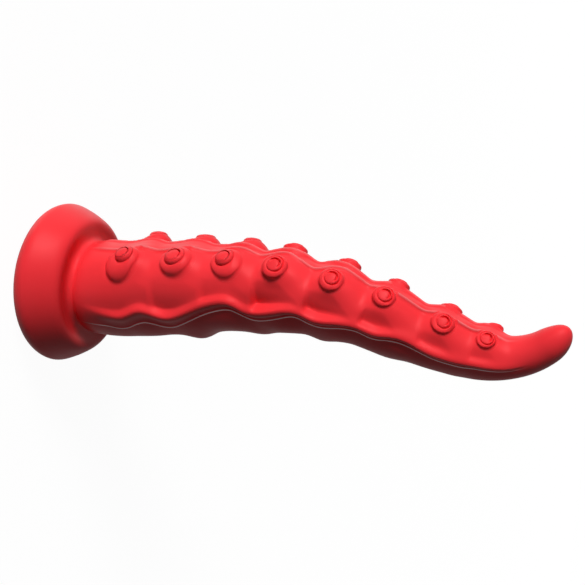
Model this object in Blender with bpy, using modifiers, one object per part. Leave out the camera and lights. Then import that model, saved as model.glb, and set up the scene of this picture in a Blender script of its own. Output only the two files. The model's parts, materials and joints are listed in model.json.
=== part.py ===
"""A soft silicone tentacle on a suction base, for Blender 4.5. Lengths in the tables are millimetres.

The real thing is one casting. It is divided here at the places where it bends: a suction base and
neck, eight sections that carry a pair of suckers each, a bare curled tip, and a short flex web of
silicone between each two of them. The hinges lie in the middle of the flex webs.

Frame: the origin is the centre of the suction rim, +Z runs up out of the base, the suckers face -Y
(the ventral side), and X runs across, from one row of suckers to the other.
"""

from math import cos, pi, radians, sin

import bmesh
import bpy
import numpy as np
from mathutils import Matrix, Vector

MM = 0.001

# Driving dimensions
LENGTH = 210.0  # along the centreline, from the floor to the end of the tip
NECK_START = 21.0  # the neck leaves the base here
TIP_ROUND_START = 200.5  # the end of the tip is half an ellipsoid from here
GAP = 0.3  # between neighbouring solids

# Lean of the centreline from +Z towards the back (+Y), in degrees, at stations along its length
LEAN = (
    (0, 0), (24, 2.5), (40, -7), (72, -6), (107, 4), (141, 15.8), (176, 9), (192, -23), (210, -54),
)  # fmt: skip

# Mean radius of the body at stations along its length
BODY = (
    (20.8, 17.1), (21.6, 17.5), (22.6, 18.0), (25, 18.3), (32, 18.4), (57, 17.6), (82, 15.7),
    (103, 14.2), (122, 12.9), (140, 11.8), (160, 10.7), (176, 9.5), (189, 7.4), (200.5, 6.1),
    (210, 5.4),
)  # fmt: skip

# The ridges that carry the suckers lie this far round from the ventral line, in degrees
ROW_ANGLE = 33.0

# Each pair of suckers: station, angle round from the ventral line, distance of its top from the
# centreline, tilt of its axis from the ventral line, radius of its boss, radius of its cap
SUCKERS = (
    (45.5, 30.3, 23.1, 25, 5.9, 3.5),
    (66.0, 31.2, 21.2, 25, 6.3, 3.8),
    (85.0, 29.3, 19.6, 28, 5.9, 3.2),
    (103.0, 34.2, 18.1, 42, 4.7, 2.8),
    (121.5, 31.9, 16.4, 42, 4.4, 2.6),
    (140.0, 28.9, 14.6, 40, 4.1, 2.6),
    (160.5, 32.6, 12.6, 43, 4.2, 2.3),
    (178.0, 33.6, 10.6, 38, 3.2, 2.4),
)
CAP_HEIGHT = 0.27  # of the cap's radius
BOSS_LEDGE = 0.5  # around the cap, on top of the boss
BOSS_SHOULDER = 1.8
RECESS_DEPTH = 0.6
RECESS_RADIUS = 0.55  # of the cap's radius

# Hinges lie between the suckers. They bend in turn towards the suckers (curl) and sideways (sway)
HINGES = (31.0, 55.9, 76.0, 94.1, 112.2, 130.7, 150.3, 169.4, 188.0)
WEB_HALF = 2.6  # half the length of a flex web

# Soft relief on the skin: height and spread along the length and round it
MOUND_HEIGHT, MOUND_LENGTH, MOUND_SPREAD = 0.09, 6.0, 20.0
EDGE_ANGLE, EDGE_HEIGHT, EDGE_SPREAD = 104.0, 0.10, 13.0
EDGE_START, EDGE_END = 24.0, 186.0
BACK_BUMPS = ((67, 3.0), (94, 2.4), (120, 1.8), (146, 1.2), (170, 0.9))
BACK_BUMP_LENGTH, BACK_BUMP_SPREAD = 5.5, 20.0

# Suction base: the outside from the neck down, then the underside from the rim in
BASE_OUTSIDE = (
    (17.2, 20.7), (18.0, 19.9), (19.2, 19.4), (21.0, 19.5), (23.0, 20.0), (24.7, 20.0),
    (26.0, 19.3), (28.3, 16.0), (29.5, 13.7), (30.5, 11.4), (31.2, 9.6), (31.5, 8.2),
    (31.35, 6.9), (30.8, 5.4), (29.8, 3.9), (28.3, 2.6), (26.5, 1.5), (24.4, 0.7), (22.2, 0.2),
    (20.4, 0.0),
)  # fmt: skip
BASE_UNDERSIDE = ((18.1, 0.0), (16.4, 1.1), (14.0, 2.7), (10.0, 4.2), (5.0, 5.0), (0.0, 5.2))

COLUMNS = 28
BASE_STEPS = 40
SUCKER_STEPS = 16
RING_SPACING = 3.0


def smooth_curve(points):
    """A smooth curve through (station, value) points that never overshoots them."""
    x, y = np.array(points, float).T
    step = np.diff(x)
    slope = np.diff(y) / step
    product = slope[:-1] * slope[1:]
    total = slope[:-1] + slope[1:]
    tangent = np.zeros_like(x)
    tangent[1:-1] = np.where(product > 0, 2 * product / np.where(product > 0, total, 1), 0)

    def value(s):
        s = np.clip(s, x[0], x[-1])
        i = np.clip(np.searchsorted(x, s) - 1, 0, len(step) - 1)
        t = (s - x[i]) / step[i]
        start = (1 + 2 * t) * (1 - t) ** 2 * y[i] + t * (1 - t) ** 2 * step[i] * tangent[i]
        end = t**2 * (3 - 2 * t) * y[i + 1] + t**2 * (t - 1) * step[i] * tangent[i + 1]
        return start + end

    return value


lean = smooth_curve(LEAN)
body_radius = smooth_curve(BODY)

# The centreline, stepped out along its lean
STATIONS = np.linspace(0, LENGTH, 841)
_angle = np.radians(lean((STATIONS[1:] + STATIONS[:-1]) / 2))
_step = STATIONS[1] - STATIONS[0]
LINE_Y = np.concatenate([[0], np.cumsum(np.sin(_angle) * _step)])
LINE_Z = np.concatenate([[0], np.cumsum(np.cos(_angle) * _step)])


def frame_at(s):
    """Centre of the section at station s, its tangent and its ventral direction."""
    angle = radians(float(lean(s)))
    centre = Vector((0, np.interp(s, STATIONS, LINE_Y), np.interp(s, STATIONS, LINE_Z)))
    return centre, Vector((0, sin(angle), cos(angle))), Vector((0, -cos(angle), sin(angle)))


def bell(distance, spread):
    return np.exp(-0.5 * (distance / spread) ** 2)


def skin_radius(s, degrees):
    """Distance from the centreline to the skin, at an angle round from the ventral line."""
    radius = float(body_radius(s))
    if s > TIP_ROUND_START:
        along = (s - TIP_ROUND_START) / (LENGTH - TIP_ROUND_START)
        radius *= np.sqrt(max(0.0, 1 - along**2))
    side = abs(degrees)
    bulge = 0.0
    for station, *_ in SUCKERS:
        bulge += MOUND_HEIGHT * bell(s - station, MOUND_LENGTH) * bell(side - ROW_ANGLE, MOUND_SPREAD)
    fade = np.clip((s - EDGE_START) / 10, 0, 1) * np.clip((EDGE_END - s) / 20, 0, 1)
    bulge += EDGE_HEIGHT * fade * bell(side - EDGE_ANGLE, EDGE_SPREAD)
    bump = sum(
        height * bell(s - station, BACK_BUMP_LENGTH) for station, height in BACK_BUMPS
    ) * bell(180 - side, BACK_BUMP_SPREAD)
    return float(radius * (1 + bulge) + bump)


def ring(s, centre, ventral):
    """One closed section of the skin, as a list of points."""
    points = []
    for column in range(COLUMNS):
        degrees = -180 + 360 * column / COLUMNS
        radius = skin_radius(float(s), degrees)
        across = Vector((sin(radians(degrees)), 0, 0))
        points.append((centre + radius * (across + cos(radians(degrees)) * ventral)) * MM)
    return points


def silicone(name, colour, roughness):
    material = bpy.data.materials.new(name)
    material.use_nodes = True
    shader = material.node_tree.nodes["Principled BSDF"]
    shader.inputs["Base Color"].default_value = (*colour, 1)
    shader.inputs["Roughness"].default_value = roughness
    shader.inputs["Metallic"].default_value = 0
    return material


def collection(name):
    made = bpy.data.collections.new(name)
    bpy.context.scene.collection.children.link(made)
    return made


def add_object(name, bm, where, material=None):
    """Turns a bmesh in world space into an object."""
    bmesh.ops.recalc_face_normals(bm, faces=bm.faces)
    mesh = bpy.data.meshes.new(name)
    bm.to_mesh(mesh)
    bm.free()
    mesh.shade_smooth()
    mesh.set_sharp_from_angle(angle=radians(40))
    made = bpy.data.objects.new(name, mesh)
    if material:
        made.data.materials.append(material)
    where.objects.link(made)
    return made


def set_origin(made, point, parent):
    """Moves an object's origin to a point, and hangs it from its bending empty."""
    made.data.transform(Matrix.Translation(-point))
    made.location = point
    if parent:
        made.parent = parent
        made.matrix_parent_inverse = parent.matrix_world.inverted()


def loft(name, rings, where, material):
    """A closed solid through sections with the same number of points, with flat ends."""
    bm = bmesh.new()
    loops = [[bm.verts.new(point) for point in points] for points in rings]
    for near, far in zip(loops[:-1], loops[1:]):
        for i in range(COLUMNS):
            j = (i + 1) % COLUMNS
            bm.faces.new((near[i], near[j], far[j], far[i]))
    bm.faces.new(loops[0])
    bm.faces.new(loops[-1])
    return add_object(name, bm, where, material)


def turned(name, profile, steps, where, material=None):
    """A turned solid. The profile's ends are on the axis, and it runs down its outside."""
    mesh = bpy.data.meshes.new(name)
    points = [(radius * MM, 0, height * MM) for radius, height in profile]
    mesh.from_pydata(points, [(i, i + 1) for i in range(len(points) - 1)], [])
    made = bpy.data.objects.new(name, mesh)
    if material:
        made.data.materials.append(material)
    where.objects.link(made)
    screw = made.modifiers.new("turn", "SCREW")
    screw.steps = steps
    screw.render_steps = steps
    screw.use_merge_vertices = True
    screw.merge_threshold = 0.00005
    screw.use_smooth_shade = True
    return made


def rings_between(start, end, first, last):
    """Sections from one station to another. The end sections are square to the hinges there.

    With no first hinge, the first section lies level, on top of the base.
    """
    rings = []
    count = max(2, round((end - start) / RING_SPACING) + 1)
    for s in np.linspace(start, end, count):
        centre, _, ventral = frame_at(s)
        if first is None and s == start:
            ventral = Vector((0, -1, 0))
        elif s == start:
            hinge, tangent, ventral = frame_at(first)
            centre = hinge + float(start - first) * tangent
        if last is not None and s == end:
            hinge, tangent, ventral = frame_at(last)
            centre = hinge + float(end - last) * tangent
        rings.append(ring(s, centre, ventral))
    return rings


def sucker(name, pair, side, where):
    """A sucker's boss and ringed cap as one turned solid, rooted inside the body."""
    station, angle, reach, tilt, boss, cap = pair
    centre, tangent, ventral = frame_at(station)
    row, turn = radians(angle), radians(tilt)
    top = centre + reach * (side * sin(row) * Vector((1, 0, 0)) + cos(row) * ventral)
    axis = side * sin(turn) * Vector((1, 0, 0)) + cos(turn) * ventral
    foot = -CAP_HEIGHT * cap
    root = -0.55 * reach
    profile = (
        (0.0, -RECESS_DEPTH),
        (RECESS_RADIUS * cap * 0.8, -RECESS_DEPTH),
        (RECESS_RADIUS * cap, 0.0),
        (0.9 * cap, 0.0),
        (cap, foot * 0.4),
        (cap, foot),
        (cap + BOSS_LEDGE, foot - 0.1),
        (boss, foot - BOSS_SHOULDER),
        (boss, root),
        (0.0, root),
    )
    made = turned(name, profile, SUCKER_STEPS, where)
    across = tangent.cross(axis)
    turned_to = Matrix((tangent, across * -1, axis)).transposed()
    made.matrix_world = Matrix.Translation(top * MM) @ turned_to.to_4x4()
    made.hide_render = True
    made.display_type = "WIRE"
    return made


def join_suckers(body, number, cutters):
    """Moulds a pair of suckers into their section."""
    for side, word in ((1, "right"), (-1, "left")):
        boss = sucker(f"sucker_{number}_{word}", SUCKERS[number - 1], side, cutters)
        union = body.modifiers.new(word, "BOOLEAN")
        union.operation = "UNION"
        union.solver = "EXACT"
        union.object = boss


def bending_empty(number, parent, where):
    """Marks a hinge. What bends there is parented to it."""
    station = HINGES[number - 1]
    centre, _, _ = frame_at(station)
    empty = bpy.data.objects.new(f"hinge_{number}", None)
    empty.location = centre * MM
    empty.empty_display_size = 0.02
    where.objects.link(empty)
    bpy.context.view_layer.update()
    if parent:
        empty.parent = parent
        empty.matrix_parent_inverse = parent.matrix_world.inverted()
    bpy.context.view_layer.update()
    return empty


def build():
    for old in list(bpy.data.objects):
        bpy.data.objects.remove(old)
    tentacle = collection("silicone_tentacle")
    guides = collection("cutters")

    base_red = silicone("silicone_base", (0.80, 0.035, 0.045), 0.38)
    body_red = silicone("silicone_body", (0.84, 0.035, 0.045), 0.34)
    flex_red = silicone("silicone_flex", (0.78, 0.030, 0.040), 0.36)

    profile = ((0.0, BASE_OUTSIDE[0][1]), *BASE_OUTSIDE, *BASE_UNDERSIDE)
    turned("suction_base", profile, BASE_STEPS, tentacle, base_red)
    loft(
        "neck",
        rings_between(NECK_START, HINGES[0] - WEB_HALF, None, HINGES[0]),
        tentacle,
        body_red,
    )

    parent = None
    for number, station in enumerate(HINGES, 1):
        parent = bending_empty(number, parent, tentacle)
        here = parent.matrix_world.translation.copy()
        half = WEB_HALF - GAP
        web = loft(
            f"flex_web_{number}",
            rings_between(station - half, station + half, station, station),
            tentacle,
            flex_red,
        )
        set_origin(web, here, parent)
        start = station + WEB_HALF
        if number <= len(SUCKERS):
            following = HINGES[number]
            rings = rings_between(start, following - WEB_HALF, station, following)
            section = loft(f"sucker_section_{number}", rings, tentacle, body_red)
            join_suckers(section, number, guides)
        else:
            rings = rings_between(start, LENGTH - 0.4, station, None)
            section = loft("tip", rings, tentacle, body_red)
        set_origin(section, here, parent)


build()
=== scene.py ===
"""The looks of the silicone tentacle: one continuous moulded skin over the CAD frame.

The skin is worked out on a grid of stations along the centreline and angles round it, with a
round patch let in for each sucker. It is then cut into ten pieces, in the stretches that stay
rigid. Lengths are millimetres until the points are made, and angles round the body are
degrees from the ventral line, which faces -Y.
"""

import json
from collections import namedtuple

import bpy
import numpy as np
from mathutils import Matrix, Vector

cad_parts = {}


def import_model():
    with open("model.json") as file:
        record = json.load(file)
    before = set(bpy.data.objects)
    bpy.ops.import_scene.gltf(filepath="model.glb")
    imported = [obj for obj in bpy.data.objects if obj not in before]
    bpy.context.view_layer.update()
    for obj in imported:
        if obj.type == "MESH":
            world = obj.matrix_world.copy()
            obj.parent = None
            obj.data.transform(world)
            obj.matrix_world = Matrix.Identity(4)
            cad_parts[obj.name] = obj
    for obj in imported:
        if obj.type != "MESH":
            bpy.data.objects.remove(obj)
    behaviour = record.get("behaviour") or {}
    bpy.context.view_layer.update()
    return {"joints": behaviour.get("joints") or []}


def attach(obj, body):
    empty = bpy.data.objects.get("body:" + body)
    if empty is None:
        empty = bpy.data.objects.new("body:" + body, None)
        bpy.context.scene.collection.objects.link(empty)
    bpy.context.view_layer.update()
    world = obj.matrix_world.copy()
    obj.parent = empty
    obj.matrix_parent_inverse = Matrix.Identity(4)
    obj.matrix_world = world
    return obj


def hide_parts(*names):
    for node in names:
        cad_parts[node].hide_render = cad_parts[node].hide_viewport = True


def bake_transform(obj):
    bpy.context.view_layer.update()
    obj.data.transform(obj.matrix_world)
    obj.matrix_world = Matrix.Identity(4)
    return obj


MM = 0.001

# ---------------------------------------------------------------------------------------------
# The body, as in the CAD model
# ---------------------------------------------------------------------------------------------
LENGTH = 210.0
# Lean of the centreline, in degrees, towards the back: station, angle
LEAN = (
    (0, 0), (24, 2.5), (40, -7), (72, -6), (107, 4), (141, 15.8), (176, 9), (192, -23), (210, -54),
)  # fmt: skip
# Radius of the body without its relief: station, radius
BODY = (
    (20.8, 17.1), (21.6, 17.5), (22.6, 18.0), (25, 18.3), (32, 18.4), (57, 17.6), (82, 15.7),
    (103, 14.2), (122, 12.9), (140, 11.8), (160, 10.7), (176, 9.5), (189, 7.4), (200.5, 6.1),
    (210, 5.4),
)  # fmt: skip
BODY_START = 21.2
TIP_ROUND_START = 200.5

# Suction base, from the middle of the dish out to the rim and up to the neck: radius, height
DISH = ((0.0, 5.2), (5.0, 5.0), (10.0, 4.2), (14.0, 2.7), (16.4, 1.1), (17.3, 0.35), (18.1, 0.0))
RIM = (
    (20.4, 0.0), (22.2, 0.2), (24.4, 0.7), (26.5, 1.5), (28.3, 2.6), (29.8, 3.9), (30.8, 5.4),
    (31.35, 6.9), (31.5, 8.2), (31.2, 9.6), (30.5, 11.4), (29.5, 13.7), (28.3, 16.0),
    (27.1, 18.0), (26.0, 19.3), (24.7, 20.0), (23.0, 20.0), (21.0, 19.5), (19.2, 19.4),
    (18.0, 19.9), (17.2, 20.7),
)  # fmt: skip

# ---------------------------------------------------------------------------------------------
# The suckers, in pairs from the base to the tip. Each is a cap on a boss:
#   station, angle      where it is, the angle from the ventral line
#   reach, tilt         distance of its top from the centreline, lean of its axis to the side
#   boss, cap           radius of its boss, radius of its cap
#   cap_height          height of the cap over the boss
#   shoulder            depth of the rounded shoulder of the boss
#   fillet, tip_fillet  width of the fillet round its foot, and of that on its tip side
#   stretch             how far the boss is drawn out down the flank, as a share of its radius
#   setback             how far the boss is set back towards the base
#   stagger             how far the right one is nearer the base, and the left one nearer the tip
#   ledge               width of the ledge round the cap
#   inner, outer        share of the cap's height that shows on its inner and on its outer side
#   slope               curve of the shoulder on its inner side: 1 is an ellipse, 2 is straight
# ---------------------------------------------------------------------------------------------
ROW_ANGLE = 33.0
Sucker = namedtuple(
    "Sucker",
    "station angle reach tilt boss cap cap_height shoulder fillet tip_fillet stretch setback "
    "stagger ledge inner outer slope",
)
SUCKERS = tuple(
    Sucker(*row)
    for row in (
        (45.8, 30.3, 23.1, 25, 6.0, 3.6, 1.9, 8.0, 1.0, 2.6, 0.5, 0.5, 1.8, 0.1, 0.25, 1.0, 1.5),
        (66.2, 31.2, 21.3, 25, 6.2, 3.9, 1.65, 7, 1.0, 2.2, 0.04, 0, 1.7, 0.1, 0.25, 0.95, 1.5),
        (85.1, 29.9, 19.8, 28, 5.9, 3.5, 1.7, 6, 0.9, 1.4, 0.18, -0.4, 1.8, 0.12, 0.3, 0.95, 1.5),
        (102.1, 33.6, 18.7, 42, 4.7, 2.9, 0.7, 1.3, 0.9, 1.3, 0.08, 0.2, 0.7, 0.55, 0.9, 0.5, 1.4),
        (121.6, 33.2, 17.1, 42, 4.4, 2.7, 0.7, 1.3, 0.9, 1.3, 0.08, 0.2, 0.9, 0.5, 0.9, 0.5, 1.4),
        (139.8, 29.5, 15.6, 40, 4.1, 2.6, 0.65, 1.2, 0.8, 1.2, 0.04, 0.2, 1.1, 0.5, 0.9, 0.5, 1.4),
        (161.5, 33.0, 13.6, 43, 4.1, 2.4, 0.6, 1.2, 0.8, 1.2, 0.0, 0.2, 0.3, 0.5, 0.9, 0.5, 1.4),
        (178.3, 34.0, 11.3, 38, 3.3, 2.3, 0.5, 1.0, 0.7, 1.0, 0.05, 0.2, 0.7, 0.4, 0.9, 0.6, 1.4),
    )
)
PATCH_MARGIN = 0.2  # between a fillet and the border of its patch
INNER_TRIM = 0.12  # how much less a boss reaches towards the ventral line
OUTER_SLOPE = 1.15  # curve of the shoulder on its outer side
OUTER_SIDE = (0.80, -0.60)  # where a cap stands highest: out to the side and back to the base
CAP_DOME = 0.46  # how much lower a cap is at its rim, as a share of its height
CAP_ROUNDING = 0.7  # radius of its rounded edge, as a share of its height
CAP_FLAT = (0.80, 0.86)  # inner and outer radius of the flat on its rim, as shares of the cap's
GUTTER_EXTRA = 2.0  # how much deeper the gutter round a cap is on its tip side, as a share
GUTTER_LEDGE = 0.3  # a cap with a narrower ledge has no such extra depth
GROOVE_STRENGTH = 1.25
TIP_WALL = 0.35  # how much higher a wider fillet reaches up the boss, as a share of its width
# Where such depths change, from the inner side at 0 to the outer side at 1
WALL_CHANGE, SLOPE_CHANGE = (0.25, 0.75), (0.35, 0.9)
INNER_WALL, OUTER_WALL = 0.15, 1.20  # height of the fillet as a share of its width

# Face of a cap inside its rim, from there to its middle: share of its radius, depth in mm. The
# groove in it is only on the side towards the ventral line and the tip.
CAP_FACE = (
    (0.79, 0.10), (0.76, 0.40), (0.73, 0.80), (0.68, 0.98), (0.62, 0.84), (0.58, 0.44),
    (0.54, 0.16), (0.50, 0.06), (0.40, 0.03), (0.22, 0.01), (0.08, 0.0),
)  # fmt: skip

# ---------------------------------------------------------------------------------------------
# Relief between the suckers
# ---------------------------------------------------------------------------------------------
# The crest on each side of the ventral line, which is painted pale as a highlight: station, angle
CREST_LINE = (
    (20, 15), (56, 14.5), (66, 14), (80, 12), (86, 7.5), (92, 8), (98, 9), (103, 6), (110, 13.5),
    (116, 14), (122, 8), (133, 10), (140, 14), (154, 15.5), (160, 14), (166, 17), (184, 19),
)  # fmt: skip
# The ridge that carries the suckers, up to each pair and down to a crease: station, height
RIDGE_LINE = (
    (30, 0.2), (40, 0.0), (47, 1.3), (50, 1.4), (54.5, -0.3), (59, 0.0), (66, 1.5), (70, 1.4),
    (74.5, -0.1), (79, 0.1), (85, 1.7), (88.5, 1.6), (94, -0.8), (100.5, 1.9), (104, 2.6),
    (108, 1.5), (113, -0.9), (119, 2.0), (123, 2.4), (127, 1.2), (132, -0.9), (138, 1.6),
    (142, 1.8), (146, 0.8), (153, -1.0), (159, 1.2), (162, 1.4), (165.5, 0.5), (172, -0.9),
    (176, 0.6), (179, 0.7), (187, -0.2), (196, 0),
)  # fmt: skip
# The flat that slopes in under each sucker: its station at a crease, and its slope there and at
# the next crease
FLATS = (
    (24, 0.0, 0.11), (54.5, 0.14, 0.07), (74.5, 0.18, 0.09), (94, 0.36, 0.18), (113, 0.36, 0.18),
    (133, 0.34, 0.17), (154, 0.22, 0.11), (172.5, 0.14, 0.07), (188, 0.0, 0.0),
)  # fmt: skip
# The frill along each side: station, angle of its lip, and of the thin bead under it
LIP_LINE = (
    (20, 96), (28, 97), (31, 99), (34, 101), (38, 103.5), (41, 105), (45, 101), (48, 96.5),
    (51, 95.5), (54, 99.5), (57, 105), (60.5, 108), (64, 106), (70, 98.5), (74, 92.5), (78, 89),
    (82, 86), (85.5, 86.5), (88, 90), (91, 97.5), (94, 102), (97, 101.5), (101, 98), (105, 93.3),
    (109, 90.5), (112, 92), (115, 97), (118, 100), (121, 98.5), (126, 94), (132, 89.8), (136, 91),
    (139.5, 92.5), (142, 89.5), (147, 83), (150, 82.5), (153, 85), (157, 90), (161, 93),
    (166, 93.8), (171, 93.5), (176, 91), (181, 91), (185, 94), (190, 96),
)  # fmt: skip
BEAD_LINE = (
    (20, 116), (34, 118.5), (38.5, 125.5), (42, 124), (46, 117), (50.5, 113), (54, 119.5),
    (57.5, 126), (60.5, 127.5), (64, 122.5), (68, 116), (73, 108.5), (78, 102.5), (84, 97.5),
    (87, 99), (90, 107), (94, 117.5), (97, 117), (101, 112.5), (106, 105), (109.5, 100),
    (112, 103), (115, 109.5), (119.5, 112.5), (124, 108.5), (128, 103), (134, 100), (139, 104),
    (142, 101.5), (145, 96), (149, 93.3), (153, 96), (158, 100.5), (162, 104.5), (168, 107),
    (172, 107.5), (175.5, 102), (180, 102.5), (185, 105), (190, 106),
)  # fmt: skip
# Bumps on the back: station, height
BACK_BUMPS = ((67, 2.6), (94, 2.2), (120, 1.7), (146, 1.1), (170, 0.8))
BUMP_LENGTH = 4.2
BUMP_ANGLE = 20.0
RIDGE_LOSS, RIDGE_FADE = 0.85, (0.5, 8.0)  # how much of the ridge is lost, and how far down
VENTRAL_SHARE = 0.6  # the height of the ridge between the two crests
FLAT_SOFTNESS = 0.2  # of a flat's upper edge
FLAT_RUN_OUT = (-3.2, -0.6)  # from the lip
CREST_HEIGHT = 0.95
CREST_WIDTH = 0.5
LIP_HEIGHT = 1.25
LIP_UPPER_WIDTH = 1.7
LIP_LOWER_SHARE, LIP_LOWER_WIDTH = 0.4, (0.5, 1.5)  # of the way to the bead, least and most
CHANNEL_DEPTH = 0.55
CHANNEL_START = (0.2, 0.8)  # shares of the way from the lip to the bead
CHANNEL_RUN_OUT = (1.0, 12.0)  # past the bead
BEAD_HEIGHT = 0.5
BEAD_WIDTH = 0.2
# Stations between which the relief comes in near the base, and goes out near the tip
CREST_START, CREST_END = (22.0, 28.0), (178.0, 188.0)
FRILL_START, FRILL_END = (24.0, 46.0), (178.0, 194.0)
MARKS_START = (22.0, 34.0)
FLAT_EDGE_SLOPE = 0.62  # how far the upper edge of a flat comes down, past the sucker
# How much the corners of these lines are rounded off
RIDGE_ROUNDING = 0.9
CREST_ROUNDING = 1.5
FRILL_ROUNDING = 1.3

# ---------------------------------------------------------------------------------------------
# The grid: columns on each half, from the ventral line to the back, and the length of a row
# ---------------------------------------------------------------------------------------------
PATCH_ANGLES = (4.0, 65.0)  # where the sucker patches start and end
OVER_LIP = 12.0  # the finer columns start this many degrees before the lip
ROUND_BEAD = 2.5  # and the finest ones lie within this many degrees of the bead
COLUMNS_TO_PATCH = 4
COLUMNS_IN_PATCH = 28
COLUMNS_TO_LIP = 7
COLUMNS_ON_LIP = 22
COLUMNS_ON_BEAD = 12
COLUMNS_ON_BACK = 20
COLUMN_COUNTS = (
    COLUMNS_TO_PATCH, COLUMNS_IN_PATCH, COLUMNS_TO_LIP, COLUMNS_ON_LIP, COLUMNS_ON_BEAD,
    COLUMNS_ON_BACK,
)  # fmt: skip
HALF_COLUMNS = sum(COLUMN_COUNTS)
COLUMNS = 2 * HALF_COLUMNS
ROWS_IN_PATCH = 22
ROW_LENGTH = 0.65
DISH_SPACING = 1.1  # between the rings of the base, along its profile
RIM_SPACING = 0.8
RINGS_TO_FOOT = 6  # from the border of a patch in to the foot of its fillet
HALVINGS = 18  # in the search for the skin at some distance from a sucker's axis

# Where the first cut is, and the stretch at each joint from just past a cut between two pieces
FIRST_CUT = 2.0  # from the start of the body
BEND_GAP = 0.2
BEND_PAST_SUCKER = 4.0
TIP_BEND_END = 200.0  # a station


def smooth_curve(points):
    """A smooth curve through (station, value) points that never overshoots them."""
    x, y = np.array(points, float).T
    step = np.diff(x)
    slope = np.diff(y) / step
    product = slope[:-1] * slope[1:]
    total = slope[:-1] + slope[1:]
    tangent = np.zeros_like(x)
    tangent[1:-1] = np.where(product > 0, 2 * product / np.where(product > 0, total, 1), 0)

    def value(s):
        s = np.clip(s, x[0], x[-1])
        i = np.clip(np.searchsorted(x, s) - 1, 0, len(step) - 1)
        t = (s - x[i]) / step[i]
        start = (1 + 2 * t) * (1 - t) ** 2 * y[i] + t * (1 - t) ** 2 * step[i] * tangent[i]
        end = t**2 * (3 - 2 * t) * y[i + 1] + t**2 * (t - 1) * step[i] * tangent[i + 1]
        return start + end

    return value


lean = smooth_curve(LEAN)
body_radius = smooth_curve(BODY)

STATIONS = np.linspace(0, LENGTH, 841)
_angle = np.radians(lean((STATIONS[1:] + STATIONS[:-1]) / 2))
_step = STATIONS[1] - STATIONS[0]
LINE_Y = np.concatenate([[0], np.cumsum(np.sin(_angle) * _step)])
LINE_Z = np.concatenate([[0], np.cumsum(np.cos(_angle) * _step)])


def line_frame(s):
    """Centre, tangent and ventral direction at stations along the centreline, as rows."""
    s = np.asarray(s, float)
    angle = np.radians(lean(s))
    zero = np.zeros_like(s)
    centre = np.stack([zero, np.interp(s, STATIONS, LINE_Y), np.interp(s, STATIONS, LINE_Z)], -1)
    tangent = np.stack([zero, np.sin(angle), np.cos(angle)], -1)
    ventral = np.stack([zero, -np.cos(angle), np.sin(angle)], -1)
    return centre, tangent, ventral


def bell(distance, spread):
    return np.exp(-0.5 * (distance / spread) ** 2)


def ease(value, start, end):
    t = np.clip((value - start) / (end - start), 0, 1)
    return t * t * (3 - 2 * t)


def rounded_line(points, spread):
    """A line through (station, value) points with its corners rounded off."""
    fine = np.arange(-20, LENGTH + 20, 0.1)
    value = np.interp(fine, *np.array(points, float).T)
    reach = np.arange(-4 * spread, 4 * spread + 0.05, 0.1)
    weight = bell(reach, spread)
    value = np.convolve(np.pad(value, len(reach) // 2, "edge"), weight / weight.sum(), "valid")
    return lambda s: np.interp(s, fine, value[: len(fine)])


ridge_line = rounded_line(RIDGE_LINE, RIDGE_ROUNDING)
crest_line = rounded_line(CREST_LINE, CREST_ROUNDING)
lip_line = rounded_line(LIP_LINE, FRILL_ROUNDING)
bead_line = rounded_line(BEAD_LINE, FRILL_ROUNDING)


def flat_lines():
    """The slope of the flats along the body, and how far under the row they start."""
    slope, start = [], []
    for (crease, first, last), (following, *_), sucker in zip(FLATS, FLATS[1:], SUCKERS):
        # There is no slope right at a crease
        slope += [(crease - 0.3, 0.0), (crease + 0.5, first), (following - 0.4, last)]
        # A flat starts just under the boss, and past the sucker its upper edge runs down
        under = sucker.boss + 0.4
        start += [(crease + 0.3, under), (sucker.station + 1, under)]
        start += [(following - 0.2, under + FLAT_EDGE_SLOPE * (following - sucker.station))]
    return rounded_line(slope, 0.4), rounded_line(start, 0.5)


flat_slope, flat_start = flat_lines()


def distance_round(s, side, line):
    """How far round the body, in millimetres, a point is from a line along it."""
    return (side - line) * np.pi / 180 * body_radius(s)


def ridge_height(s, side):
    """The ridge that carries the suckers, and the flats that slope in under it."""
    around = distance_round(s, side, ROW_ANGLE)
    # The ridge dies out down the flank, and is lower along the ventral line
    fade = 1 - RIDGE_LOSS * ease(around, *RIDGE_FADE)
    inner = VENTRAL_SHARE + (1 - VENTRAL_SHARE) * ease(side, 0, crest_line(s))
    # How far under its upper edge a point of the flat is, with that edge rounded over. The flat
    # runs out just over the lip.
    down = around - flat_start(s)
    down = 0.5 * (down + np.sqrt(down**2 + FLAT_SOFTNESS))
    from_lip = distance_round(s, side, lip_line(s))
    depth = flat_slope(s) * down * (1 - ease(from_lip, *FLAT_RUN_OUT))
    return ridge_line(s) * fade * inner - depth


def edge_relief(s, side):
    """The wavy frill: a rounded lip, a channel under it and a thin bead along the edge."""
    from_lip = distance_round(s, side, lip_line(s))
    from_bead = distance_round(s, side, bead_line(s))
    gap = from_lip - from_bead
    lower_width = np.clip(LIP_LOWER_SHARE * gap, *LIP_LOWER_WIDTH)
    lip = LIP_HEIGHT * bell(from_lip, np.where(from_lip < 0, LIP_UPPER_WIDTH, lower_width))
    channel = ease(from_lip, CHANNEL_START[0] * gap, CHANNEL_START[1] * gap)
    channel = channel * (1 - ease(from_bead, *CHANNEL_RUN_OUT))
    bead = BEAD_HEIGHT * bell(from_bead, BEAD_WIDTH)
    fade = ease(s, *FRILL_START) * (1 - ease(s, *FRILL_END))
    return fade * (lip - CHANNEL_DEPTH * channel + bead)


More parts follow.
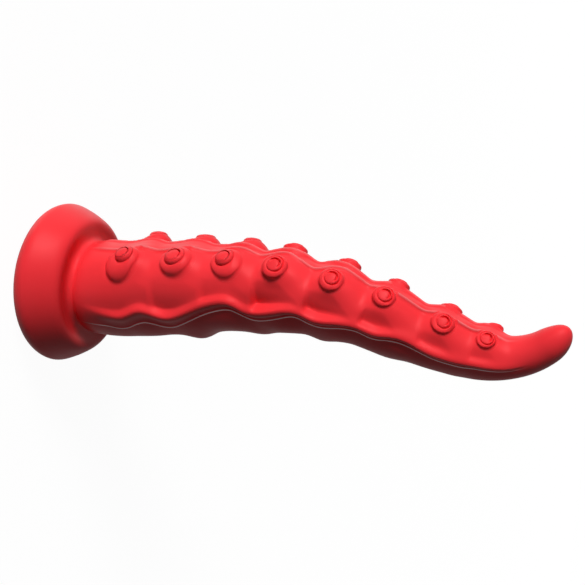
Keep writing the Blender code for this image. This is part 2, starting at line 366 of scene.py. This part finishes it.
def skin_radius(s, side):
    """Distance from the centreline to the skin. side is the angle from the ventral line."""
    radius = body_radius(s) + ridge_height(s, side)
    crest = CREST_HEIGHT * bell(distance_round(s, side, crest_line(s)), CREST_WIDTH)
    radius = radius + crest * ease(s, *CREST_START) * (1 - ease(s, *CREST_END))
    radius = radius + edge_relief(s, side)
    for station, height in BACK_BUMPS:
        radius = radius + height * bell(s - station, BUMP_LENGTH) * bell(180 - side, BUMP_ANGLE)
    along = np.clip((s - TIP_ROUND_START) / (LENGTH - TIP_ROUND_START), 0, 1)
    return radius * np.sqrt(1 - along**2)


def line_marks(s, degrees):
    """How far each point is from the crest and from the bead, and how strongly they show."""
    side = np.abs(degrees)
    crest = distance_round(s, side, crest_line(s))
    bead = distance_round(s, side, bead_line(s))
    strength = ease(s, *MARKS_START) * (1 - ease(s, *FRILL_END))
    return np.stack([crest, bead, strength], -1)


def skin_point(s, degrees):
    """Points of the skin, in millimetres, at stations and signed angles round the body."""
    centre, _, ventral = line_frame(s)
    radius = skin_radius(s, np.abs(degrees))[..., None]
    turn = np.radians(degrees)[..., None]
    across = np.array([1.0, 0.0, 0.0])
    return centre + radius * (np.sin(turn) * across + np.cos(turn) * ventral)


# ---------------------------------------------------------------------------------------------
# Mesh making
# ---------------------------------------------------------------------------------------------
def column_angles(s):
    """Angles of the grid's columns at a station, from -180 up to just under 180."""
    lip, bead = float(lip_line(s)), float(bead_line(s))
    stops = (0.0, *PATCH_ANGLES, lip - OVER_LIP, bead - ROUND_BEAD, bead + ROUND_BEAD, 180.0)
    half = [0.0]
    for start, end, count in zip(stops[:-1], stops[1:], COLUMN_COUNTS):
        half.extend(np.linspace(start, end, count + 1)[1:])
    half = np.array(half)
    return np.concatenate([-half[:0:-1], half[:-1]])


def patch_columns(side):
    """First and last grid column of the sucker patches on one side."""
    if side > 0:
        first = HALF_COLUMNS + COLUMNS_TO_PATCH
    else:
        first = HALF_COLUMNS - COLUMNS_TO_PATCH - COLUMNS_IN_PATCH
    return first, first + COLUMNS_IN_PATCH


def patch_ends(sucker):
    """First and last station of a sucker's patch."""
    spread = sucker.boss + sucker.stagger + PATCH_MARGIN
    start = sucker.station - spread - sucker.setback - sucker.fillet
    return start, sucker.station + spread - sucker.setback + sucker.tip_fillet


def row_stations():
    """Stations of the body's rows, and the first and last row of each sucker's patch."""
    stations = [BODY_START]
    patches = []

    def fill(end):
        count = max(1, round((end - stations[-1]) / ROW_LENGTH))
        stations.extend(np.linspace(stations[-1], end, count + 1)[1:])

    for sucker in SUCKERS:
        start, end = patch_ends(sucker)
        fill(start)
        first = len(stations) - 1
        stations.extend(np.linspace(start, end, ROWS_IN_PATCH + 1)[1:])
        patches.append((first, first + ROWS_IN_PATCH))
    fill(TIP_ROUND_START)
    quarter = np.linspace(0, np.pi / 2, 15)[1:-1]
    stations.extend(TIP_ROUND_START + (LENGTH - TIP_ROUND_START) * np.sin(quarter))
    return np.array(stations), patches


def profile_points(points, spacing):
    """The points of a turned profile, with more put in between them on a smooth curve."""
    points = np.array(points, float)
    padded = np.concatenate([[2 * points[0] - points[1]], points, [2 * points[-1] - points[-2]]])
    made = [points[0]]
    for before, start, end, after in zip(padded, padded[1:], padded[2:], padded[3:]):
        count = max(1, round(np.linalg.norm(end - start) / spacing))
        for t in np.linspace(0, 1, count + 1)[1:]:
            pull = end - before, after - start
            made.append(
                (2 * t**3 - 3 * t**2 + 1) * start
                + (t**3 - 2 * t**2 + t) * pull[0] / 2
                + (3 * t**2 - 2 * t**3) * end
                + (t**3 - t**2) * pull[1] / 2
            )
    return np.array(made)


def cap_profile(cap, cap_height):
    """A cap from the gutter round it to its middle: radius, height over its rim, and which of
    the three depths round the cap that height is scaled by."""
    foot = -cap_height
    rounding = CAP_ROUNDING * cap_height
    points = [
        (cap + 0.30, foot - 0.10, "gutter"),
        (cap + 0.12, foot - 0.16, "gutter"),
        (cap, foot + 0.02, "gutter"),
    ]
    for turn in np.radians((0, 22, 45, 68)):
        points.append(
            (cap - rounding * (1 - np.cos(turn)), -rounding * (1 - np.sin(turn)), "step")
        )
    flat_end, flat_start = CAP_FLAT[0] * cap, min(cap - rounding, CAP_FLAT[1] * cap)
    points.append((flat_start, 0.0, "step"))
    points.append((0.5 * (flat_start + flat_end), 0.0, "step"))
    points.extend((share * cap, -depth, "groove") for share, depth in CAP_FACE)
    return points


NO_MARKS = (9.0, 9.0, 0.0)  # far from the crest and the bead, neither of which shows


class Skin:
    """Points and faces of the whole skin. Each face belongs to one piece."""

    def __init__(self):
        self.points = []
        self.marks = []
        self.count = 0
        self.faces = []
        self.pieces = []

    def add_points(self, points, marks=NO_MARKS):
        points = np.asarray(points, float).reshape(-1, 3)
        self.points.append(points)
        self.marks.append(np.broadcast_to(marks, points.shape))
        first = self.count
        self.count += len(points)
        return np.arange(first, self.count)

    def add_face(self, corners, piece):
        self.faces.append(tuple(int(c) for c in corners))
        self.pieces.append(piece)

    def bridge(self, near, far, piece):
        """A closed band of quads between two rings with the same number of points."""
        for i in range(len(near)):
            j = (i + 1) % len(near)
            self.add_face((near[i], near[j], far[j], far[i]), piece)

    def fan(self, ring, tip, piece):
        """Triangles from a ring to one point."""
        for i in range(len(ring)):
            self.add_face((ring[i], ring[(i + 1) % len(ring)], tip), piece)


def block_border(rows, columns):
    """The border of a patch, as (row, column) pairs in order round it."""
    (r0, r1), (c0, c1) = rows, columns
    border = [(r0, c) for c in range(c0, c1)]
    border += [(r, c1) for r in range(r0, r1)]
    border += [(r1, c) for c in range(c1, c0, -1)]
    border += [(r, c0) for r in range(r1, r0, -1)]
    return border


def add_sucker(skin, grid, angles, stations, rows, side, sucker, piece):
    """Lets one sucker into the grid. side is 1 on the right, towards +X, and -1 on the left."""
    station = sucker.station - sucker.stagger * side
    border = block_border(rows, patch_columns(side))
    centre, tangent, ventral = line_frame(station)
    row, turn = np.radians(sucker.angle), np.radians(sucker.tilt)
    sideways = np.array([side, 0.0, 0.0])
    top = centre + sucker.reach * (np.sin(row) * sideways + np.cos(row) * ventral)
    axis = np.sin(turn) * sideways + np.cos(turn) * ventral
    across = np.cos(turn) * sideways - np.sin(turn) * ventral

    # Where the axis leaves the skin, near enough
    under = top - centre - (sucker.reach - body_radius(station)) * axis
    middle_angle = np.degrees(np.arctan2(under @ sideways, under @ ventral)) * side
    border_s = np.array([stations[r] for r, _ in border])
    border_a = np.array([angles[r][c] for r, c in border])

    def way_out(share):
        """Stations and angles on the way from the middle out to the border."""
        s = station + (border_s - station) * share
        return s, middle_angle + (border_a - middle_angle) * share

    def on_skin(share):
        return skin_point(*way_out(share))

    def share_at(radius):
        """How far out the skin is that far from the sucker's axis, found by halving."""
        low, high = np.zeros(len(border)), np.ones(len(border))
        for _ in range(HALVINGS):
            middle = (low + high) / 2
            away = on_skin(middle) - top
            away = away - (away @ axis)[:, None] * axis
            near = np.linalg.norm(away, axis=1) < radius
            low, high = np.where(near, middle, low), np.where(near, high, middle)
        return (low + high) / 2

    def level(radius, height):
        """A ring round the sucker's axis, at a height over its top."""
        radius = np.broadcast_to(radius, u.shape)[:, None]
        ring = top + radius * (u[:, None] * tangent + v[:, None] * across)
        return ring + np.broadcast_to(height, u.shape)[:, None] * axis

    # Radius of the boss and width of the fillet, in each direction from the sucker
    from_top = on_skin(np.ones(len(border))) - top
    outward, along = from_top @ across, from_top @ tangent
    length = np.hypot(outward, along)
    outward, along = outward / length, along / length
    drawn = (outward - sucker.setback * along) / np.hypot(1, sucker.setback)
    boss = sucker.boss * (1 + sucker.stretch * np.maximum(drawn, 0) ** 2)
    boss = boss * (1 - INNER_TRIM * np.maximum(-outward, 0) ** 2)
    boss = boss - sucker.setback * along
    fillet = sucker.fillet + (sucker.tip_fillet - sucker.fillet) * ease(along, 0, 1)

    # The skin from the border of the patch in to the foot of the fillet
    foot = share_at(boss + fillet)
    ways = [way_out(1 + (foot - 1) * t) for t in np.linspace(0, 1, RINGS_TO_FOOT + 1)[1:]]
    rings = [skin_point(*way) for way in ways]

    # The foot of the boss. u runs towards the tip and v out to the side.
    root = on_skin(share_at(boss))
    u, v = (root - top) @ tangent, (root - top) @ across
    size = np.hypot(u, v)
    u, v = u / size, v / size
    # From 0 on the inner side of the sucker to 1 on its outer side
    outer = 0.5 + 0.5 * (OUTER_SIDE[0] * v + OUTER_SIDE[1] * u)
    step = sucker.inner + (sucker.outer - sucker.inner) * outer

    # Heights of the ledge round the cap, and of the wall of the boss from its fillet up
    ledge = sucker.cap + sucker.ledge
    crown = -sucker.cap_height * step
    rim_drop = CAP_DOME * sucker.cap_height
    wall = sucker.fillet * (INNER_WALL + (OUTER_WALL - INNER_WALL) * ease(outer, *WALL_CHANGE))
    wall = wall + TIP_WALL * (fillet - sucker.fillet)
    wall_start = np.minimum((root - top) @ axis + wall, crown - 0.2)
    wall_end = np.maximum(wall_start, crown - sucker.shoulder)

    # The fillet, the wall and its rounded shoulder, up to the ledge
    start, end = rings[-1], level(boss, wall_start)
    for t in (0.22, 0.42, 0.62, 0.82, 1.0):
        rings.append((1 - t) ** 2 * start + 2 * t * (1 - t) * root + t**2 * end)
    for t in (0.4, 0.8):
        rings.append(level(boss, wall_start + t * (wall_end - wall_start)))
    power = sucker.slope + (OUTER_SLOPE - sucker.slope) * ease(outer, *SLOPE_CHANGE)
    for bend in np.radians((12, 28, 44, 60, 75, 90)):
        radius = ledge + (boss - ledge) * max(np.cos(bend), 0.0) ** power
        height = wall_end + (crown - rim_drop - wall_end) * np.sin(bend) ** power
        rings.append(level(radius, height))

    # The cap, domed as a whole
    extra = GUTTER_EXTRA if sucker.ledge > GUTTER_LEDGE else 0.0
    gutter = 1 + extra * ease(u, -0.3, 0.6)
    groove = GROOVE_STRENGTH * ease(0.6 * u - 0.8 * v, -0.5, 0.9)
    for radius, height, scaled_by in cap_profile(sucker.cap, sucker.cap_height):
        if scaled_by == "gutter":
            height = crown + (height + sucker.cap_height) * gutter
        elif scaled_by == "step":
            height = height * step
        else:
            height = height * groove
        rings.append(level(radius, height - rim_drop * (radius / sucker.cap) ** 2))

    near = np.array([grid[r][c] for r, c in border])
    for number, ring in enumerate(rings):
        marks = line_marks(*ways[number]) if number < len(ways) else NO_MARKS
        far = skin.add_points(ring, marks)
        skin.bridge(near, far, piece)
        near = far
    middle = skin.add_points([top])
    skin.fan(near, middle[0], piece)


def build_skin():
    """The whole skin, and the station of each cut between its pieces."""
    skin = Skin()
    stations, patches = row_stations()
    cuts = [float(stations[last]) for _, last in patches]
    angles = [column_angles(s) for s in stations]
    base_angles = np.radians(column_angles(BODY_START))

    # The base, from the middle of the dish to the neck
    dish = profile_points(DISH, DISH_SPACING)[1:]
    outside = profile_points(RIM, RIM_SPACING)
    near = None
    for radius, height in np.concatenate([dish, outside]):
        x, y = radius * np.sin(base_angles), -radius * np.cos(base_angles)
        far = skin.add_points(np.stack([x, y, np.full_like(x, height)], -1))
        if near is None:
            middle = skin.add_points([(0, 0, DISH[0][1])])
            skin.fan(far, middle[0], 0)
        else:
            skin.bridge(near, far, 0)
        near = far

    # The grid of the body, but for its sucker patches
    grid = []
    for s, row_angles in zip(stations, angles):
        way = np.full(COLUMNS, s), row_angles
        grid.append(skin.add_points(skin_point(*way), line_marks(*way)))
    skin.bridge(near, grid[0], 0)
    first_cut = BODY_START + FIRST_CUT
    inside = set()
    for rows in patches:
        for side in (-1, 1):
            c0, c1 = patch_columns(side)
            inside.update((r, c) for r in range(*rows) for c in range(c0, c1))
    for r in range(len(stations) - 1):
        middle = (stations[r] + stations[r + 1]) / 2
        piece = 0 if middle < first_cut else 1 + sum(middle > cut for cut in cuts)
        for c in range(COLUMNS):
            if (r, c) not in inside:
                d = (c + 1) % COLUMNS
                skin.add_face((grid[r][c], grid[r][d], grid[r + 1][d], grid[r + 1][c]), piece)
    end = skin.add_points(skin_point(np.array([LENGTH]), np.array([0.0])))
    skin.fan(grid[-1], end[0], len(cuts) + 1)
    for number, (rows, sucker) in enumerate(zip(patches, SUCKERS), 1):
        for side in (-1, 1):
            add_sucker(skin, grid, angles, stations, rows, side, sucker, number)
    return skin, [first_cut, *cuts]


def vertex_normals(points, faces):
    """Area-weighted normals of the whole skin, so that a cut doesn't show."""
    total = np.zeros_like(points)
    for size in (3, 4):
        some = np.array([f for f in faces if len(f) == size])
        p = points[some]
        # Across a quad's diagonals, or two sides of a triangle
        normal = np.cross(p[:, 2] - p[:, 0], (p[:, 3] if size == 4 else p[:, 0]) - p[:, 1])
        for k in range(size):
            np.add.at(total, some[:, k], normal)
    return total / np.maximum(np.linalg.norm(total, axis=1), 1e-12)[:, None]


def skin_pieces(skin, material):
    """One mesh object for each piece of the skin."""
    points = np.concatenate(skin.points) * MM
    marks = np.concatenate(skin.marks)
    normals = vertex_normals(points, skin.faces)
    made = []
    for piece in range(max(skin.pieces) + 1):
        faces = [f for f, p in zip(skin.faces, skin.pieces) if p == piece]
        used = sorted({c for f in faces for c in f})
        place = {c: i for i, c in enumerate(used)}
        mesh = bpy.data.meshes.new(f"skin_{piece}")
        mesh.from_pydata(points[used].tolist(), [], [[place[c] for c in f] for f in faces])
        mesh.materials.append(material)
        lines = mesh.attributes.new("lines", "FLOAT_VECTOR", "POINT")
        lines.data.foreach_set("vector", marks[used].ravel())
        mesh.shade_smooth()
        mesh.normals_split_custom_set_from_vertices(normals[used].tolist())
        obj = bpy.data.objects.new(f"skin_{piece}", mesh)
        bpy.context.scene.collection.objects.link(obj)
        made.append(obj)
    return made


# ---------------------------------------------------------------------------------------------
# Material
# ---------------------------------------------------------------------------------------------
DYE_DARK = (0.86, 0.028, 0.036, 1)
DYE_LIGHT = (0.91, 0.033, 0.043, 1)
# Colour of the painted highlights on the crest and the bead
PALE = (0.78, 0.60, 0.61, 1)
SILICONE_IOR = 1.41
ROUGHNESS = (0.34, 0.44)
CLOUD_SCALE, CLOUD_DETAIL = 45, 3
MATT_SCALE, MATT_DETAIL = 120, 4
PEEL_SCALE, PEEL_DETAIL = 1500, 2
PEEL_STRENGTH, PEEL_HEIGHT = 0.12, 0.00006
# Widths and strengths of the painted highlights along the crest and the bead
CREST_HIGHLIGHT_WIDTH = 0.8  # in millimetres, like the bead's
BEAD_HIGHLIGHT_WIDTH = 0.42
CREST_HIGHLIGHT_SHARE = 0.21
BEAD_HIGHLIGHT_METALLIC = 0.7
CREST_BUMP_STRENGTH, CREST_BUMP_HEIGHT = 0.6, 0.0004


def silicone_material():
    """Platinum silicone, dyed red in the mass, with a satin surface from the mould, and painted
    highlights along the crest and the bead.
    """
    material = bpy.data.materials.new("red_silicone")
    material.use_nodes = True
    nodes, links = material.node_tree.nodes, material.node_tree.links
    shader = nodes["Principled BSDF"]
    shader.inputs["IOR"].default_value = SILICONE_IOR
    place = nodes.new("ShaderNodeTexCoord")

    def noise(scale, detail):
        texture = nodes.new("ShaderNodeTexNoise")
        texture.inputs["Scale"].default_value = scale
        texture.inputs["Detail"].default_value = detail
        links.new(place.outputs["Object"], texture.inputs["Vector"])
        return texture.outputs["Fac"]

    def spread(value, low, high):
        """Noise spread out over a range."""
        scaled = nodes.new("ShaderNodeMapRange")
        scaled.inputs["From Min"].default_value = 0.3
        scaled.inputs["From Max"].default_value = 0.7
        scaled.inputs["To Min"].default_value = low
        scaled.inputs["To Max"].default_value = high
        links.new(value, scaled.inputs["Value"])
        return scaled.outputs["Result"]

    def operation(kind, *values):
        node = nodes.new("ShaderNodeMath")
        node.operation = kind
        for socket, value in zip(node.inputs, values):
            if isinstance(value, float):
                socket.default_value = value
            else:
                links.new(value, socket)
        return node.outputs["Value"]

    def blend(share, first, second):
        mix = nodes.new("ShaderNodeMix")
        mix.data_type = "RGBA"
        links.new(share, mix.inputs[0])
        for socket, value in ((mix.inputs[6], first), (mix.inputs[7], second)):
            if isinstance(value, tuple):
                socket.default_value = value
            else:
                links.new(value, socket)
        return mix.outputs[2]

    # The crest and the bead, from the distances that are kept in the mesh, in millimetres
    lines = nodes.new("ShaderNodeAttribute")
    lines.attribute_name = "lines"
    parts = nodes.new("ShaderNodeSeparateXYZ")
    links.new(lines.outputs["Vector"], parts.inputs["Vector"])

    def along_line(distance, width):
        """1 on a line, and 0 from that width on."""
        near = nodes.new("ShaderNodeMapRange")
        near.interpolation_type = "SMOOTHSTEP"
        near.inputs["From Min"].default_value = 0.0
        near.inputs["From Max"].default_value = width
        near.inputs["To Min"].default_value = 1.0
        near.inputs["To Max"].default_value = 0.0
        links.new(operation("ABSOLUTE", distance), near.inputs["Value"])
        return operation("MULTIPLY", near.outputs["Result"], parts.outputs["Z"])

    crest = along_line(parts.outputs["X"], CREST_HIGHLIGHT_WIDTH)
    bead = along_line(parts.outputs["Y"], BEAD_HIGHLIGHT_WIDTH)

    # The dye is a little uneven, in clouds a few centimetres across. The crest and the bead are
    # painted paler, as painted highlights.
    clouds = spread(noise(CLOUD_SCALE, CLOUD_DETAIL), 0, 1)
    dye = blend(clouds, DYE_DARK, DYE_LIGHT)
    pale = operation("MAXIMUM", operation("MULTIPLY", crest, CREST_HIGHLIGHT_SHARE), bead)
    links.new(blend(pale, dye, PALE), shader.inputs["Base Color"])
    # The bead along the mould's parting line is painted pale and metallic, as a painted highlight
    # line
    links.new(operation("MULTIPLY", bead, BEAD_HIGHLIGHT_METALLIC), shader.inputs["Metallic"])
    # Handling and the mould's own finish leave some places more matt than others
    matt = spread(noise(MATT_SCALE, MATT_DETAIL), *ROUGHNESS)
    links.new(matt, shader.inputs["Roughness"])
    # Fine orange peel from the mould, and the crest over it
    peel = nodes.new("ShaderNodeBump")
    peel.inputs["Strength"].default_value = PEEL_STRENGTH
    peel.inputs["Distance"].default_value = PEEL_HEIGHT
    links.new(noise(PEEL_SCALE, PEEL_DETAIL), peel.inputs["Height"])
    ridge = nodes.new("ShaderNodeBump")
    ridge.inputs["Strength"].default_value = CREST_BUMP_STRENGTH
    ridge.inputs["Distance"].default_value = CREST_BUMP_HEIGHT
    links.new(crest, ridge.inputs["Height"])
    links.new(peel.outputs["Normal"], ridge.inputs["Normal"])
    links.new(ridge.outputs["Normal"], shader.inputs["Normal"])
    return material


# ---------------------------------------------------------------------------------------------
# Stage
# ---------------------------------------------------------------------------------------------
CAMERA_PLACE = (305.6, -134.7, 216.3)
CAMERA_RIGHT = (-0.3335, 0.0266, 0.9424)
CAMERA_BACK = (0.8731, -0.3684, 0.3194)
CAMERA_LENS = 58.5
FLOOR_HALF = 12.0  # in metres
FLOOR_GREY = (0.1, 0.1, 0.1, 1)
FLOOR_GLOW = 0.96
KEY_DIRECTION = (0.29, -0.94, 0.18)
KEY_STRENGTH, KEY_SIZE = 3.65, 26
GLOSS_STRENGTH, GLOSS_SIZE = 0.55, 30
ROOM_LIGHT = 0.05
SWEEP_DIRECTION = (-0.86, -0.40, -0.29)
SWEEP_EDGE = (0.35, 0.95)  # cosines of the angles from that direction where it starts and is full
SWEEP_STRENGTH = (0.3, 0.86)


def add_camera():
    """A close view from the right and a little above, rolled on its side."""
    data = bpy.data.cameras.new("camera")
    data.sensor_width = 36
    data.lens = CAMERA_LENS
    data.clip_start, data.clip_end = 0.01, 60
    camera = bpy.data.objects.new("camera", data)
    place = Matrix.Translation(Vector(CAMERA_PLACE) * MM)
    right, back = Vector(CAMERA_RIGHT), Vector(CAMERA_BACK)
    right = (right - right.dot(back) * back).normalized()
    back.normalize()
    up = back.cross(right)
    camera.matrix_world = place @ Matrix((right, up, back)).transposed().to_4x4()
    bpy.context.scene.collection.objects.link(camera)
    bpy.context.scene.camera = camera


def add_floor():
    """A white floor that the camera sees, and that doesn't lift the shadows under the object."""
    material = bpy.data.materials.new("floor_white")
    material.use_nodes = True
    shader = material.node_tree.nodes["Principled BSDF"]
    shader.inputs["Base Color"].default_value = FLOOR_GREY
    shader.inputs["Roughness"].default_value = 0.9
    shader.inputs["Specular IOR Level"].default_value = 0.1
    shader.inputs["Emission Color"].default_value = (1, 1, 1, 1)
    shader.inputs["Emission Strength"].default_value = FLOOR_GLOW
    mesh = bpy.data.meshes.new("floor")
    half = FLOOR_HALF
    corners = [(-half, -half, 0), (half, -half, 0), (half, half, 0), (-half, half, 0)]
    mesh.from_pydata(corners, [], [(0, 1, 2, 3)])
    mesh.materials.append(material)
    floor = bpy.data.objects.new("floor", mesh)
    floor.visible_diffuse = False
    floor.visible_glossy = False
    bpy.context.scene.collection.objects.link(floor)


def add_sun(name, direction, strength, size):
    """A distant soft light that comes from a direction."""
    data = bpy.data.lights.new(name, "SUN")
    data.energy = strength
    data.angle = np.radians(size)
    light = bpy.data.objects.new(name, data)
    light.rotation_mode = "QUATERNION"
    light.rotation_quaternion = Vector(direction).to_track_quat("Z", "Y")
    bpy.context.scene.collection.objects.link(light)
    return light


def add_world():
    """A white background, a dim room, and a bright sweep behind the object for reflections."""
    world = bpy.data.worlds.new("studio")
    world.use_nodes = True
    nodes, links = world.node_tree.nodes, world.node_tree.links
    background = nodes["Background"]
    place = nodes.new("ShaderNodeTexCoord")
    toward = nodes.new("ShaderNodeVectorMath")
    toward.operation = "DOT_PRODUCT"
    toward.inputs[1].default_value = SWEEP_DIRECTION
    sweep = nodes.new("ShaderNodeMapRange")
    sweep.interpolation_type = "SMOOTHSTEP"
    sweep.inputs["From Min"].default_value = SWEEP_EDGE[0]
    sweep.inputs["From Max"].default_value = SWEEP_EDGE[1]
    sweep.inputs["To Min"].default_value = SWEEP_STRENGTH[0]
    sweep.inputs["To Max"].default_value = SWEEP_STRENGTH[1]
    ray = nodes.new("ShaderNodeLightPath")

    def switch(choice, otherwise, value):
        """A fixed value where the choice is 1."""
        mix = nodes.new("ShaderNodeMix")
        mix.data_type = "FLOAT"
        mix.inputs[3].default_value = value
        links.new(choice, mix.inputs[0])
        links.new(otherwise, mix.inputs[2])
        return mix.outputs[0]

    for_shade = switch(ray.outputs["Is Diffuse Ray"], sweep.outputs["Result"], ROOM_LIGHT)
    for_camera = switch(ray.outputs["Is Camera Ray"], for_shade, 1.0)
    links.new(place.outputs["Generated"], toward.inputs[0])
    links.new(toward.outputs["Value"], sweep.inputs["Value"])
    links.new(for_camera, background.inputs["Strength"])
    background.inputs["Color"].default_value = (1, 1, 1, 1)
    bpy.context.scene.world = world


def add_lights():
    """A large soft key over the suckers, with a weaker light beside it for its highlights."""
    key = add_sun("key", KEY_DIRECTION, KEY_STRENGTH, KEY_SIZE)
    key.visible_glossy = False
    gloss = add_sun("key_gloss", KEY_DIRECTION, GLOSS_STRENGTH, GLOSS_SIZE)
    gloss.visible_diffuse = False
    add_world()
    bpy.context.scene.view_settings.view_transform = "Standard"


def add_skin(joints):
    """The skin, with its first piece on the base, in place of its CAD solids, which are hidden."""
    skin, cuts = build_skin()
    pieces = skin_pieces(skin, silicone_material())
    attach(pieces[0], "base")
    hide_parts("suction_base", "neck")
    bend_ends = [sucker.station + BEND_PAST_SUCKER for sucker in SUCKERS] + [TIP_BEND_END]
    for number, (joint, cut, bend_end) in enumerate(zip(joints, cuts, bend_ends), 1):
        piece = pieces[number]
        start = Vector(line_frame(cut + BEND_GAP)[0]) * MM
        end = Vector(line_frame(bend_end)[0]) * MM
        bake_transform(piece)
        solid = f"sucker_section_{number}" if number <= len(SUCKERS) else "tip"
        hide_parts(f"flex_web_{number}", solid)


def main():
    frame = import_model()
    add_skin(frame["joints"])
    add_camera()
    add_floor()
    add_lights()


main()
